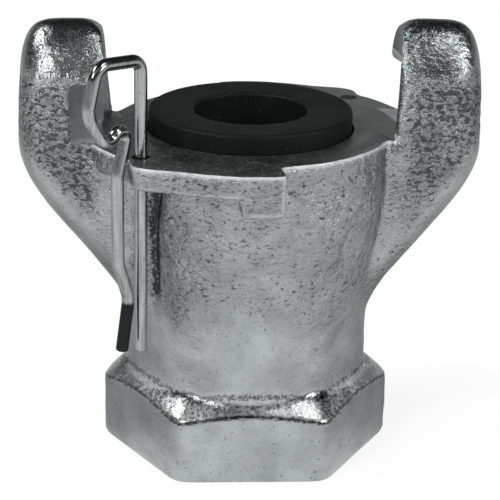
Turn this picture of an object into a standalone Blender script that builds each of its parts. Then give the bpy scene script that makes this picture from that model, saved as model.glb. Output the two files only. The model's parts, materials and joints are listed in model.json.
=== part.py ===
"""Claw hose coupling with a three quarter inch female pipe end.

One iron casting carries two hooked claws, two cam flanges and a six-sided pipe end.
A rubber washer sits in a recess of its machined face, and a bent wire safety clip
slides up and down through a hole at the end of one flange.

Units are metres. The axis of the coupling is Z, the pipe end stands on Z = 0, and the
claws rise at +X and -X. The second claw and flange are the first, turned half a circle.
"""
import math

import bmesh
import bpy
import numpy as np

MM = 0.001

# Six-sided pipe end
HEX_ACROSS_FLATS = 37.5 * MM
HEX_FLAT_HEIGHT = 10.3 * MM
HEX_CORNER_POWER = 28
HEX_CORNER_DIP = 0.45
SHOULDER_SLOPE = math.radians(42)
FOOT_ROUNDING = 0.5 * MM

# Neck between the pipe end and the head
NECK_RADIUS = 17.6 * MM
HEAD_RADIUS = 20.6 * MM
NECK_FLARE_START = 18.0 * MM
NECK_FLARE_LENGTH = 24.0 * MM

# Head: machined face, shelf beside each claw, cam flanges and their detent blocks
FACE_HEIGHT = 47.8 * MM
FLANGE_THICKNESS = 3.5 * MM
FLANGE_ROUNDING = 1.0 * MM
FLANGE_END = math.radians(98.7)
FLANGE_ROOT_SHARE = 0.8
SHELF_STEP = 0.4 * MM
SHELF_START = math.radians(10)
BUMP_RISE = 1.3 * MM
BUMP_ANGLE = math.radians(50.5)
BUMP_CLAW_SIDE = math.radians(7)
BUMP_FLANGE_SIDE = math.radians(16)
DETENT_DEPTH = 6.1 * MM
DETENT_ANGLE = math.radians(14.5)
FACING_ALLOWANCE = 0.8 * MM

# Claws: a rounded bar that leaves the neck, stands up and hooks inwards
CLAW_RISE = 15.75 * MM
CLAW_WIDTH = 17.3 * MM
CLAW_LEAD = 0.25 * MM
CLAW_NOSE = 6.8 * MM
CLAW_ROOT_HEIGHT = 18.4 * MM
CLAW_FULL_HEIGHT = 46.2 * MM
CLAW_ROOT_FLARE = 0.43
CLAW_FLARE_REACH = 25.0 * MM
CLAW_FLARE_RISE = 17.0 * MM
CLAW_DOME = 18.0 * MM
CLAW_DOME_POWER = 3.8
CLAW_CROWN = 17.0 * MM
CLAW_CROWN_POWER = 1.85
CLAW_LIP_EDGE = 3.7 * MM
CLAW_PLAN_POWER = 2.6
CLAW_LEAN = 0.9 * MM
CLAW_CORE_SHARE = 0.3

# Pocket under each claw's lip, which takes the flange of the other coupling
POCKET_CLEARANCE = 2.1 * MM
CLAW_WALL = 6.15 * MM
LIP_OVERLAP = 3.5 * MM
COUPLED_GAP = 4.4 * MM
POCKET_CORNER = 1.3 * MM
LIP_ROUNDING = 2.5 * MM
STOP_WALL = 4.0 * MM

# Waterway, washer recess and pipe socket
WATERWAY_RADIUS = 9.2 * MM
RECESS_DEPTH = 3.9 * MM
GROOVE_HEIGHT = 2.7 * MM
GROOVE_DEPTH = 1.0 * MM
SOCKET_RADIUS = 12.0 * MM
SOCKET_TAPER = 1 / 32
SOCKET_DEPTH = 16.0 * MM
RELIEF_LENGTH = 3.0 * MM
RELIEF_DEPTH = 0.9 * MM
SOCKET_CHAMFER = 1.6 * MM
REDUCER_LENGTH = 4.0 * MM

# Rubber washer
WASHER_RADIUS = 14.7 * MM
WASHER_HOLE_RADIUS = 8.2 * MM
WASHER_PROUD = 2.7 * MM
WASHER_EDGE = 0.4 * MM
SEAT_GAP = 0.3 * MM

# Safety clip, bent from one wire in a plane that holds the coupling's axis
WIRE_DIAMETER = 1.8 * MM
CLIP_HOLE_CLEARANCE = 0.4 * MM
CLIP_HEAD_GAP = 0.2 * MM
CLIP_HOLE_WALL = 1.1 * MM
CLIP_HOLE_ANGLE = math.radians(44.6)
CLIP_RIM_GAP = 1.1 * MM
CLIP_LEG_LENGTH = 28.5 * MM
CLIP_EYE_HEIGHT = 13.9 * MM
CLIP_EYE_WIDTH = 9.9 * MM
CLIP_EYE_FLOOR = 2.6 * MM
CLIP_NIP_HEIGHT = 7.2 * MM
CLIP_NIP_REACH = 1.6 * MM
CLIP_RIM_DROP = 1.7 * MM
CLIP_KNEE_SHARE = 0.50
CLIP_PINCH_SHARE = 0.30
CLIP_PINCH_SQUEEZE = 2.0 * MM
CLIP_TIP_SHORTER = 1.0 * MM

# Mesh resolution
SURFACE_GRAIN = 0.55 * MM
SMOOTHING_STEPS = 6
CASTING_FACES = 5600
ROUND_SEGMENTS = 64
WIRE_SPACING = 0.9 * MM
CUT_OVERRUN = 3.0 * MM


def clear_scene():
    """Remove every object that the file opened with."""
    for item in list(bpy.data.objects):
        bpy.data.objects.remove(item, do_unlink=True)


def smooth_step(value, start, length):
    """Ease from 0 to 1 as value goes from start to start + length."""
    share = np.clip((value - start) / length, 0.0, 1.0)
    return share * share * (3.0 - 2.0 * share)


def make_material(name, colour, roughness, metallic):
    """A plain finish with one colour."""
    material = bpy.data.materials.new(name)
    material.use_nodes = True
    shader = material.node_tree.nodes["Principled BSDF"]
    shader.inputs["Base Color"].default_value = (*colour, 1.0)
    shader.inputs["Roughness"].default_value = roughness
    shader.inputs["Metallic"].default_value = metallic
    return material


def mesh_object(name, points, faces):
    """An object in the scene from points and faces, turned to face outwards."""
    mesh = bpy.data.meshes.new(name)
    mesh.from_pydata([tuple(point) for point in points], [], faces)
    shell = bmesh.new()
    shell.from_mesh(mesh)
    bmesh.ops.recalc_face_normals(shell, faces=shell.faces)
    shell.to_mesh(mesh)
    shell.free()
    item = bpy.data.objects.new(name, mesh)
    bpy.context.scene.collection.objects.link(item)
    return item


def loft(name, rings):
    """A closed solid through a stack of rings with equal numbers of points."""
    count, around = rings.shape[:2]
    faces = []
    for ring in range(count - 1):
        for step in range(around):
            right = (step + 1) % around
            low = ring * around
            high = low + around
            faces.append((low + step, low + right, high + right, high + step))
    faces.append(tuple(range(around)))
    faces.append(tuple(range((count - 1) * around, count * around)))
    return mesh_object(name, rings.reshape(-1, 3), faces)


def turned(name, profile, start=0.0, sweep=2 * math.pi, segments=ROUND_SEGMENTS):
    """A closed (radius, height) profile carried round the Z axis.

    A full sweep closes on itself, and a part sweep gets a flat face at each end. A
    profile point on the axis becomes one shared point.
    """
    full = sweep > 2 * math.pi - 1e-6
    steps = segments if full else max(3, math.ceil(segments * sweep / (2 * math.pi)))
    angles = start + sweep * np.arange(steps if full else steps + 1) / steps
    points = []
    index = {}
    for corner, (radius, height) in enumerate(profile):
        for turn, angle in enumerate(angles):
            if radius < 1e-9 and turn > 0:
                index[corner, turn] = index[corner, 0]
                continue
            index[corner, turn] = len(points)
            points.append((radius * math.cos(angle), radius * math.sin(angle), height))
    faces = []
    for turn in range(steps):
        beyond = (turn + 1) % len(angles)
        for corner in range(len(profile)):
            after = (corner + 1) % len(profile)
            loop = [index[corner, turn], index[after, turn],
                    index[after, beyond], index[corner, beyond]]
            kept = list(dict.fromkeys(loop))
            if len(kept) > 2:
                faces.append(kept)
    if not full:
        for turn in (0, steps):
            faces.append([index[corner, turn] for corner in range(len(profile))])
    return mesh_object(name, points, faces)


def extruded(name, outline, bottom, top, rounding=0.0):
    """A closed flat outline raised from bottom to top.

    With a rounding, the outline draws in towards the axis over the lower edge.
    """
    radius = max(math.hypot(x, y) for x, y in outline)
    rings = []
    for turn in np.linspace(0.0, math.pi / 2, 5 if rounding else 1):
        share = 1 - rounding * (1 - math.sin(turn)) / radius
        height = bottom + rounding * (1 - math.cos(turn))
        rings.append([(x * share, y * share, height) for x, y in outline])
    rings.append([(x, y, top) for x, y in outline])
    return loft(name, np.array(rings))


def arc(radius, start, end, steps):
    """Points on a circle round the axis, from one angle to another."""
    angles = np.linspace(start, end, steps)
    return [(radius * math.cos(angle), radius * math.sin(angle)) for angle in angles]


def half_turned(item):
    """A copy of an object turned half a circle about the coupling's axis."""
    twin = item.copy()
    twin.data = item.data.copy()
    twin.name = item.name + "_twin"
    for vertex in twin.data.vertices:
        vertex.co.x = -vertex.co.x
        vertex.co.y = -vertex.co.y
    bpy.context.scene.collection.objects.link(twin)
    return twin


def subtract(item, cutter):
    """Cut one solid out of another, keeping the cutter as a hidden guide."""
    cutter.hide_render = True
    cutter.display_type = "WIRE"
    step = item.modifiers.new(cutter.name, "BOOLEAN")
    step.operation = "DIFFERENCE"
    step.solver = "EXACT"
    step.object = cutter


def clip_hole_bore():
    """Radius of the clip's hole, with room for the wire to slide."""
    return WIRE_DIAMETER / 2 + CLIP_HOLE_CLEARANCE


def clip_hole_distance():
    """Distance from the axis to the clip's hole, which just clears the head's side."""
    return HEAD_RADIUS + CLIP_HEAD_GAP + clip_hole_bore()


def shelf_radius():
    """Radius of the shelf's rim, a wall's width beyond the clip's hole."""
    return clip_hole_distance() + clip_hole_bore() + CLIP_HOLE_WALL


def flange_radius():
    """Radius of the cam flange's rim, a small step outside the shelf's."""
    return shelf_radius() + SHELF_STEP


def pocket_radius():
    """Radius of the claw's pocket, which clears the other coupling's flange."""
    return flange_radius() + POCKET_CLEARANCE


def pocket_height():
    """Height of the pocket: the other flange's thickness and the gap between the faces."""
    return FLANGE_THICKNESS + COUPLED_GAP


def claw_reach():
    """Distance from the axis to the outside of a claw."""
    return pocket_radius() + CLAW_WALL


def claw_inner_radius():
    """Radius of the claw's lip, which reaches over the other coupling's flange."""
    return flange_radius() - LIP_OVERLAP


def neck_radius(height):
    """Radius of the neck, which widens a little under the head."""
    return NECK_RADIUS + (HEAD_RADIUS - NECK_RADIUS) * smooth_step(
        height, NECK_FLARE_START, NECK_FLARE_LENGTH)


def hexagon_radius(angle):
    """Distance from the axis to a hexagon whose corners a power mean rounds off."""
    apothem = HEX_ACROSS_FLATS / 2
    total = 0.0
    for side in range(6):
        facing = np.cos(angle - math.pi / 2 - side * math.pi / 3)
        total = total + np.maximum(facing, 0.0) ** HEX_CORNER_POWER
    return apothem * total ** (-1 / HEX_CORNER_POWER)


def make_stem():
    """The pipe end and neck: a hexagon with sloping shoulders under the round neck."""
    top = FACE_HEIGHT + FACING_ALLOWANCE
    foot = FOOT_ROUNDING * (1 - np.cos(np.linspace(0, math.pi / 2, 5)))
    rise = np.linspace(HEX_FLAT_HEIGHT * 0.7, HEX_FLAT_HEIGHT * 1.4, 24)
    upper = np.linspace(HEX_FLAT_HEIGHT * 1.5, top, 40)
    heights = np.concatenate([[-FACING_ALLOWANCE], foot, rise, upper])[:, None]
    angles = np.linspace(0, 2 * math.pi, 192, endpoint=False)[None, :]
    outline = hexagon_radius(angles)
    edge = HEX_FLAT_HEIGHT - HEX_CORNER_DIP * (outline - HEX_ACROSS_FLATS / 2)
    slope = np.maximum(heights - edge, 0.0) / math.tan(SHOULDER_SLOPE)
    below = np.clip(FOOT_ROUNDING - heights, 0.0, FOOT_ROUNDING)
    inset = FOOT_ROUNDING - np.sqrt(FOOT_ROUNDING ** 2 - below ** 2)
    radius = np.maximum(outline - slope, neck_radius(heights)) - inset
    rings = np.stack([radius * np.cos(angles), radius * np.sin(angles),
                      np.broadcast_to(heights, radius.shape)], axis=2)
    return loft("stem", rings)


def rounded_off(distance, size, power):
    """Share left of a width as its end is rounded over the last stretch of a given size."""
    share = np.clip(distance / size, 0.0, 0.9995)
    return (1 - share ** power) ** (1 / power)


def make_claw():
    """The claw at +X as a stack of level sections.

    Each section is a bar with a rounded nose. Its reach eases out from the neck, and its
    leading side (+Y) widens towards the axis below the face. The top is a crown, rounded
    across the bar, over the outer side and, less, over the lip, which leans back a little.
    """
    top = FACE_HEIGHT + CLAW_RISE
    start = CLAW_ROOT_HEIGHT - CLAW_NOSE / 2
    share = np.sin(np.linspace(0, math.pi / 2, 72))
    heights = (start + (top - start) * share)[:, None]
    turn = np.linspace(0, 2 * math.pi, 72, endpoint=False)[None, :]
    outer = rounded_off(heights - (top - CLAW_DOME), CLAW_DOME, CLAW_DOME_POWER)
    crown = rounded_off(heights - (top - CLAW_CROWN), CLAW_CROWN, CLAW_CROWN_POWER)
    lip = 1 - rounded_off(heights - (top - CLAW_LIP_EDGE), CLAW_LIP_EDGE, 2)
    reach = NECK_RADIUS - SEAT_GAP + (claw_reach() - NECK_RADIUS + SEAT_GAP) * smooth_step(
        heights, CLAW_ROOT_HEIGHT, CLAW_FULL_HEIGHT - CLAW_ROOT_HEIGHT)
    middle = reach - CLAW_NOSE
    core = HEAD_RADIUS * CLAW_CORE_SHARE
    above = smooth_step(heights, FACE_HEIGHT - FLANGE_THICKNESS, FLANGE_THICKNESS)
    inside = claw_inner_radius() * math.cos(math.asin(CLAW_WIDTH / 2 / claw_inner_radius()))
    lean = CLAW_LEAN * smooth_step(heights, FACE_HEIGHT, CLAW_RISE / 2)
    inner = core + (inside - core) * above + lean + CLAW_LIP_EDGE * lip
    cosine = np.cos(turn)
    sine = np.sin(turn)
    nose = middle + CLAW_NOSE * outer * np.abs(cosine) ** (2 / CLAW_PLAN_POWER)
    heel = middle - (middle - inner) * np.abs(cosine) ** 0.25
    x = np.where(cosine > 0, nose, heel)
    round_side = np.sign(sine) * np.abs(sine) ** (2 / CLAW_PLAN_POWER)
    square_side = np.sign(sine) * np.abs(sine) ** 0.25
    side = np.where(cosine > 0, round_side, square_side + (round_side - square_side) * lip)
    flare = CLAW_ROOT_FLARE * np.maximum(CLAW_FLARE_REACH - x, 0.0) * (1 - above)
    flare = flare * smooth_step(heights, CLAW_ROOT_HEIGHT, CLAW_FLARE_RISE)
    y = CLAW_LEAD + CLAW_WIDTH / 2 * crown * side + flare * np.maximum(side, 0.0)
    rings = np.stack([x, y, np.broadcast_to(heights, x.shape)], axis=2)
    return loft("claw", rings)


def make_flange():
    """The shelf beside the claw at +X and the cam flange beyond it, as one flat sector.

    The rim has a rounded bump between the clip's hole and the flange.
    """
    angles = np.linspace(SHELF_START, FLANGE_END, 90)
    away = angles - BUMP_ANGLE
    share = np.where(away < 0, -away / BUMP_CLAW_SIDE, away / BUMP_FLANGE_SIDE)
    radii = np.where(away < 0, shelf_radius(), flange_radius())
    rise = flange_radius() + BUMP_RISE - radii
    radii = radii + rise * np.cos(np.minimum(share, 1.0) * math.pi / 2) ** 2
    outline = [(radius * math.cos(angle), radius * math.sin(angle))
               for radius, angle in zip(radii, angles)]
    outline += arc(HEAD_RADIUS * FLANGE_ROOT_SHARE, FLANGE_END, SHELF_START, 30)
    return extruded("flange", outline, FACE_HEIGHT - FLANGE_THICKNESS,
                    FACE_HEIGHT + FACING_ALLOWANCE, FLANGE_ROUNDING)


def make_detent():
    """The deeper block at the flange's end, which keeps a coupled claw from turning back."""
    outline = arc(flange_radius(), FLANGE_END - DETENT_ANGLE, FLANGE_END, 10)
    outline += arc(HEAD_RADIUS * FLANGE_ROOT_SHARE, FLANGE_END, FLANGE_END - DETENT_ANGLE, 6)
    return extruded("detent", outline, FACE_HEIGHT - DETENT_DEPTH,
                    FACE_HEIGHT + FACING_ALLOWANCE, FLANGE_ROUNDING)


def clip_hole_centre():
    """Centre of the clip's hole beside the claw at +X."""
    distance = clip_hole_distance()
    return (distance * math.cos(CLIP_HOLE_ANGLE), distance * math.sin(CLIP_HOLE_ANGLE))


def round_post(name, centre, radius, bottom, top, steps=24):
    """An upright cylinder at a given centre."""
    outline = [(centre[0] + x, centre[1] + y) for x, y in arc(radius, 0, 2 * math.pi, steps + 1)]
    return extruded(name, outline[:-1], bottom, top)


def join_forms(name, forms):
    """One object that holds all the forms' shells, which the grain then fuses."""
    shell = bmesh.new()
    for form in forms:
        shell.from_mesh(form.data)
        bpy.data.objects.remove(form, do_unlink=True)
    mesh = bpy.data.meshes.new(name)
    shell.to_mesh(mesh)
    shell.free()
    item = bpy.data.objects.new(name, mesh)
    bpy.context.scene.collection.objects.link(item)
    return item


def fuse_forms(item):
    """Fuse overlapping shells into one cast skin with small fillets."""
    remesh = item.modifiers.new("fuse", "REMESH")
    remesh.mode = "VOXEL"
    remesh.voxel_size = SURFACE_GRAIN
    soften = item.modifiers.new("soften", "SMOOTH")
    soften.factor = 0.5
    soften.iterations = SMOOTHING_STEPS
    graph = bpy.context.evaluated_depsgraph_get()
    fused = bpy.data.meshes.new_from_object(item.evaluated_get(graph))
    item.modifiers.clear()
    item.data = fused
    triangles = 2 * len(fused.polygons)
    thin = item.modifiers.new("thin", "DECIMATE")
    thin.ratio = min(1.0, CASTING_FACES / triangles)


def facing_outline():
    """Outline of the machined face: a disc that runs out between the claws."""
    beyond = claw_reach()
    lead = CLAW_LEAD + CLAW_WIDTH / 2 + SEAT_GAP
    trail = CLAW_WIDTH / 2 - CLAW_LEAD + SEAT_GAP
    inner_lead = math.asin(lead / claw_inner_radius())
    outer_lead = math.asin(lead / beyond)
    inner_trail = math.asin(trail / claw_inner_radius())
    outer_trail = math.asin(trail / beyond)
    outline = []
    for half in (0.0, math.pi):
        outline += arc(claw_inner_radius(), half - inner_trail, half + inner_lead, 18)
        outline += arc(beyond, half + outer_lead, half + math.pi - outer_trail, 18)
    return outline


def make_facing_cutter():
    """Everything above the face that the lathe takes away between the claws."""
    return extruded("facing_cutter", facing_outline(), FACE_HEIGHT,
                    FACE_HEIGHT + CLAW_RISE + CUT_OVERRUN)


def make_pocket_cutter():
    """The pocket under the lip of the claw at +X, open on its leading side."""
    under = FACE_HEIGHT + pocket_height()
    tip = under + LIP_ROUNDING
    back = claw_inner_radius() - CUT_OVERRUN
    profile = [(back, FACE_HEIGHT), (pocket_radius(), FACE_HEIGHT)]
    for angle in np.linspace(0.0, math.pi / 2, 4):
        profile.append((pocket_radius() - POCKET_CORNER * (1 - math.cos(angle)),
                        under - POCKET_CORNER * (1 - math.sin(angle))))
    for angle in np.linspace(-math.pi / 2, -math.pi, 6):
        profile.append((claw_inner_radius() + LIP_ROUNDING * (1 + math.cos(angle)),
                        tip + LIP_ROUNDING * math.sin(angle)))
    profile.append((back, tip))
    trailing = CLAW_WIDTH / 2 - CLAW_LEAD
    start = math.asin((STOP_WALL - trailing) / pocket_radius())
    leading = math.asin((CLAW_LEAD + CLAW_WIDTH / 2) / pocket_radius())
    return turned("pocket_cutter", profile, start, leading - start + math.radians(20))


def recess_radius():
    """Radius of the washer's recess at the face."""
    return WASHER_RADIUS + SEAT_GAP


def make_bore_cutter():
    """The hollow from pipe socket to washer recess, as one turned profile."""
    mouth = SOCKET_RADIUS + SOCKET_CHAMFER
    end = SOCKET_RADIUS - SOCKET_TAPER * SOCKET_DEPTH
    relief_top = SOCKET_DEPTH + RELIEF_LENGTH
    seat = FACE_HEIGHT - RECESS_DEPTH
    top = FACE_HEIGHT + WASHER_PROUD + CUT_OVERRUN
    profile = [
        (0.0, -CUT_OVERRUN),
        (mouth + CUT_OVERRUN, -CUT_OVERRUN),
        (SOCKET_RADIUS, SOCKET_CHAMFER),
        (end, SOCKET_DEPTH),
        (end + RELIEF_DEPTH, SOCKET_DEPTH + RELIEF_DEPTH),
        (end + RELIEF_DEPTH, relief_top),
        (WATERWAY_RADIUS, relief_top + REDUCER_LENGTH),
        (WATERWAY_RADIUS, seat),
        (recess_radius() + GROOVE_DEPTH, seat),
        (recess_radius() + GROOVE_DEPTH, seat + GROOVE_HEIGHT),
        (recess_radius(), seat + GROOVE_HEIGHT),
        (recess_radius(), top),
        (0.0, top),
    ]
    return turned("bore_cutter", profile)


def make_foot_cutter():
    """The block below the machined end face."""
    half = HEX_ACROSS_FLATS
    outline = [(-half, -half), (half, -half), (half, half), (-half, half)]
    return extruded("foot_cutter", outline, -CUT_OVERRUN, 0.0)


def make_casting():
    """The whole iron casting: fused forms first, then the machined cuts."""
    head = [make_claw(), make_flange(), make_detent()]
    forms = [make_stem()] + head + [half_turned(form) for form in head]
    casting = join_forms("coupling_casting", forms)
    fuse_forms(casting)
    pocket = make_pocket_cutter()
    hole = round_post("clip_hole_cutter", clip_hole_centre(), clip_hole_bore(),
                      FACE_HEIGHT - FLANGE_THICKNESS - CUT_OVERRUN,
                      FACE_HEIGHT + CUT_OVERRUN, 16)
    cutters = [make_facing_cutter(), pocket, half_turned(pocket), make_bore_cutter(),
               hole, half_turned(hole), make_foot_cutter()]
    for cutter in cutters:
        subtract(casting, cutter)
    casting.data.materials.append(make_material("zinc_plated_iron", (0.40, 0.41, 0.41), 0.45, 1.0))
    return casting


def make_washer():
    """The rubber washer with a retaining bead that fills the recess's groove."""
    bottom = FACE_HEIGHT - RECESS_DEPTH + SEAT_GAP
    bead_top = FACE_HEIGHT - RECESS_DEPTH + GROOVE_HEIGHT - SEAT_GAP
    bead_radius = WASHER_RADIUS + GROOVE_DEPTH
    top = FACE_HEIGHT + WASHER_PROUD
    profile = [
        (WASHER_HOLE_RADIUS, bottom),
        (bead_radius - WASHER_EDGE, bottom),
        (bead_radius, bottom + WASHER_EDGE),
        (bead_radius, bead_top),
        (WASHER_RADIUS, bead_top),
        (WASHER_RADIUS, top - WASHER_EDGE),
        (WASHER_RADIUS - WASHER_EDGE, top),
        (WASHER_HOLE_RADIUS + WASHER_EDGE, top),
        (WASHER_HOLE_RADIUS, top - WASHER_EDGE),
    ]
    washer = turned("rubber_washer", profile)
    washer.data.materials.append(make_material("black_rubber", (0.016, 0.018, 0.017), 0.7, 0.0))
    return washer


def clip_corners():
    """Corners of the wire's path as (distance out from the hole, height, bend radius).

    The wire starts at the cut end of the straight leg, turns over the eye, comes back
    beside the leg, passes outside the flange's rim and ends in a flared tip.
    """
    foot = FACE_HEIGHT - CLIP_LEG_LENGTH
    crown = FACE_HEIGHT + CLIP_EYE_HEIGHT
    tilt = WIRE_DIAMETER / 3
    spread = shelf_radius() - clip_hole_distance() + CLIP_RIM_GAP + WIRE_DIAMETER / 2
    knee = foot + CLIP_LEG_LENGTH * CLIP_KNEE_SHARE
    pinch = foot + CLIP_LEG_LENGTH * CLIP_PINCH_SHARE
    tight = WIRE_DIAMETER * 0.65
    middling = WIRE_DIAMETER
    gentle = WIRE_DIAMETER * 1.7
    return [
        (0.0, foot, 0.0),
        (0.0, crown - tilt / 2, middling),
        (CLIP_EYE_WIDTH * 0.82, crown + tilt / 2, middling * 1.4),
        (CLIP_EYE_WIDTH, crown - CLIP_EYE_HEIGHT * 0.45, gentle),
        (CLIP_EYE_WIDTH * 0.65, FACE_HEIGHT + CLIP_EYE_FLOOR, middling * 0.9),
        (CLIP_NIP_REACH, FACE_HEIGHT + CLIP_NIP_HEIGHT, tight),
        (spread, FACE_HEIGHT - CLIP_RIM_DROP, gentle),
        (spread, knee, gentle * 1.5),
        (spread - CLIP_PINCH_SQUEEZE, pinch, gentle * 1.3),
        (spread - CLIP_PINCH_SQUEEZE / 3, foot + CLIP_TIP_SHORTER, 0.0),
    ]


def bent_path(corners, spacing):
    """Points along straight runs joined by round bends of the given radii."""
    points = [np.array(corners[0][:2])]
    for before, corner, after in zip(corners, corners[1:], corners[2:]):
        vertex = np.array(corner[:2])
        back = np.array(before[:2]) - vertex
        ahead = np.array(after[:2]) - vertex
        back /= np.linalg.norm(back)
        ahead /= np.linalg.norm(ahead)
        half = math.acos(float(np.clip(np.dot(back, ahead), -1.0, 1.0))) / 2
        middle = back + ahead
        centre = vertex + middle / np.linalg.norm(middle) * corner[2] / math.sin(half)
        cut = corner[2] / math.tan(half)
        first = vertex + back * cut - centre
        last = vertex + ahead * cut - centre
        sweep = math.pi - 2 * half
        steps = max(2, math.ceil(sweep * corner[2] / spacing))
        for share in np.linspace(0.0, 1.0, steps + 1):
            arm = first * math.sin((1 - share) * sweep) + last * math.sin(share * sweep)
            points.append(centre + arm / math.sin(sweep))
    points.append(np.array(corners[-1][:2]))
    return points


def make_clip():
    """The safety clip: one round wire along its bent path, beside the claw at -X."""
    out_x = -math.cos(CLIP_HOLE_ANGLE)
    out_y = -math.sin(CLIP_HOLE_ANGLE)
    centre = clip_hole_centre()
    wire = bpy.data.curves.new("safety_clip", "CURVE")
    wire.dimensions = "3D"
    wire.bevel_depth = WIRE_DIAMETER / 2
    wire.bevel_resolution = 2
    wire.use_fill_caps = True
    path = bent_path(clip_corners(), WIRE_SPACING)
    spline = wire.splines.new("POLY")
    spline.points.add(len(path) - 1)
    for knot, (outward, height) in zip(spline.points, path):
        knot.co = (outward * out_x, outward * out_y, height, 1.0)
    clip = bpy.data.objects.new("safety_clip", wire)
    clip.location = (-centre[0], -centre[1], 0.0)
    bpy.context.scene.collection.objects.link(clip)
    clip.data.materials.append(make_material("bright_steel_wire", (0.62, 0.62, 0.62), 0.18, 1.0))
    return clip


def shade_round(item):
    """Smooth shading with sharp edges where the surface turns hard."""
    item.data.shade_smooth()
    item.data.set_sharp_from_angle(angle=math.radians(35))


def main():
    """Build the three pieces."""
    clear_scene()
    shade_round(make_casting())
    shade_round(make_washer())
    make_clip()


main()
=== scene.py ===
"""Claw hose coupling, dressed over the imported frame.

The cast body, the rubber washer, the pipe thread and the wire safety clip are surfaces
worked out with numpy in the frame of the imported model, in metres. The cast body is a set
of lofted forms fused into one skin, roughened by smooth seeded noise, and then cut by the
shapes that the lathe and the drill take away.
"""
import itertools
import json
import logging
import math
from dataclasses import dataclass, field
from enum import Enum
from functools import cached_property

import bmesh
import bpy
import numpy as np
from bpy.types import Material, Mesh, Node, NodeSocket, Object, World
from mathutils import Matrix, Vector

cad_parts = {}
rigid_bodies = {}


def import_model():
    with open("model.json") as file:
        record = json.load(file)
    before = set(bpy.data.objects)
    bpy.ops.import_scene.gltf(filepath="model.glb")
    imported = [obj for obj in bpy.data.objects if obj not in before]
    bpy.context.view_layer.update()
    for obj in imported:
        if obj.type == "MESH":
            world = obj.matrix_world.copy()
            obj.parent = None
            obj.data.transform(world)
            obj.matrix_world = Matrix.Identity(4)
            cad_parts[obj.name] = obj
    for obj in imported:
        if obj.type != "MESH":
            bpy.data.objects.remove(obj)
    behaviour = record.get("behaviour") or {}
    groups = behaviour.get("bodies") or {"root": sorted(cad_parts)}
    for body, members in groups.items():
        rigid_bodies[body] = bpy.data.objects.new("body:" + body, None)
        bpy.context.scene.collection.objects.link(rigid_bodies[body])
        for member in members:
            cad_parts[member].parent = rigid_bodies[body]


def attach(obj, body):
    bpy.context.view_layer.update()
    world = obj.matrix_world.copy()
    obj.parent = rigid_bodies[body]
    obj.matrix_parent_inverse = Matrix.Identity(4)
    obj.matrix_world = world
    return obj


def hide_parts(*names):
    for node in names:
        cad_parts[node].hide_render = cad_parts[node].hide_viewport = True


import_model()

MM = 0.001
LOG = logging.getLogger("coupling")
Array = np.ndarray
Triple = tuple[float, float, float]
Colour = Triple
WHITE: Colour = (1.0, 1.0, 1.0)
BLACK: Colour = (0.0, 0.0, 0.0)
# Places of a colour mix node's share and two colours among its inputs, and of its result,
# and of a vector node's length.
MIX_INPUTS = (0, 6, 7)
MIX_OUTPUT = 2
LENGTH_OUTPUT = 1
# Size of the noise's table of random numbers, and the factors that pick a place in it.
TABLE_SIZE = 32768
TABLE_STEPS = np.array([73856093, 19349663, 83492791])
# Share of a rounding at which a width stops shrinking, so that no ring closes to a point.
LAST_SHARE = 0.9995
# Radius of a turned profile's corners on the axis.
ON_AXIS = 1e-5


class Body(Enum):
    """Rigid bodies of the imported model."""

    COUPLING = "coupling"
    CLIP = "clip"


class Slot(Enum):
    """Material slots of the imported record."""

    IRON = "zinc_plated_iron"
    RUBBER = "black_rubber"
    WIRE = "bright_steel_wire"


def smooth_step(value: Array, start: float, length: float) -> Array:
    """Ease from 0 to 1 as a value goes from start to start + length, as 3 t^2 - 2 t^3."""
    share = np.clip((value - start) / length, 0.0, 1.0)
    return share * share * (3.0 - 2.0 * share)


def rounded_off(distance: Array, size: float, power: float) -> Array:
    """Share left of a width over a rounded end, (1 - t^p)^(1/p) for t = distance / size.

    Args:
        distance: Distance past the place where the rounding starts.
        size: Length of the rounding.
        power: 2 gives an ellipse, and more gives a squarer end.

    Returns:
        Shares between almost 0 and 1.
    """
    share = np.clip(distance / size, 0.0, LAST_SHARE)
    return (1 - share ** power) ** (1 / power)


def soft_line(value: Array, middle: Array | float, width: float) -> Array:
    """Share along a soft line, exp(-((value - middle) / width)^2)."""
    return np.exp(-((value - middle) / width) ** 2)


def unit(vector: Array) -> Array:
    """A vector, or each row of an array of vectors, made one long."""
    return vector / np.linalg.norm(vector, axis=-1, keepdims=True)


def polar(points: Array) -> tuple[Array, Array, Array]:
    """Radius, angle and height of each point."""
    x, y, z = points.T
    return np.hypot(x, y), np.arctan2(y, x), z


def ring_grid(radius: Array, angle: Array, height: Array) -> Array:
    """Grid of points (r cos a, r sin a, z), from arrays that broadcast together."""
    points = np.broadcast_arrays(radius * np.cos(angle), radius * np.sin(angle), height)
    return np.stack(points, axis=2)


@dataclass(frozen=True)
class Ease:
    """A smooth rise from 0 to 1 along a value: where it starts, and how far it takes."""

    start: float
    length: float

    def at(self, value: Array) -> Array:
        """Shares between 0 and 1 at the values."""
        return smooth_step(value, self.start, self.length)


@dataclass(frozen=True)
class Grain:
    """Smooth seeded noise in space: random numbers on a lattice, eased between its points."""

    seed: int
    cell: float

    def at(self, points: Array) -> Array:
        """Noise at each point.

        Args:
            points: Array of positions, one row each.

        Returns:
            Values between -1 and 1.
        """
        table = np.random.default_rng(self.seed).random(TABLE_SIZE)
        scaled = points / self.cell
        base = np.floor(scaled).astype(np.int64)
        part = scaled - base
        part = part * part * (3 - 2 * part)
        total = np.zeros(len(points))
        for corner in itertools.product((0, 1), repeat=3):
            step = np.array(corner)
            weight = np.prod(np.where(step == 1, part, 1 - part), axis=1)
            place = np.bitwise_xor.reduce((base + step) * TABLE_STEPS, axis=1)
            total += weight * table[place % TABLE_SIZE]
        return total * 2 - 1


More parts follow.
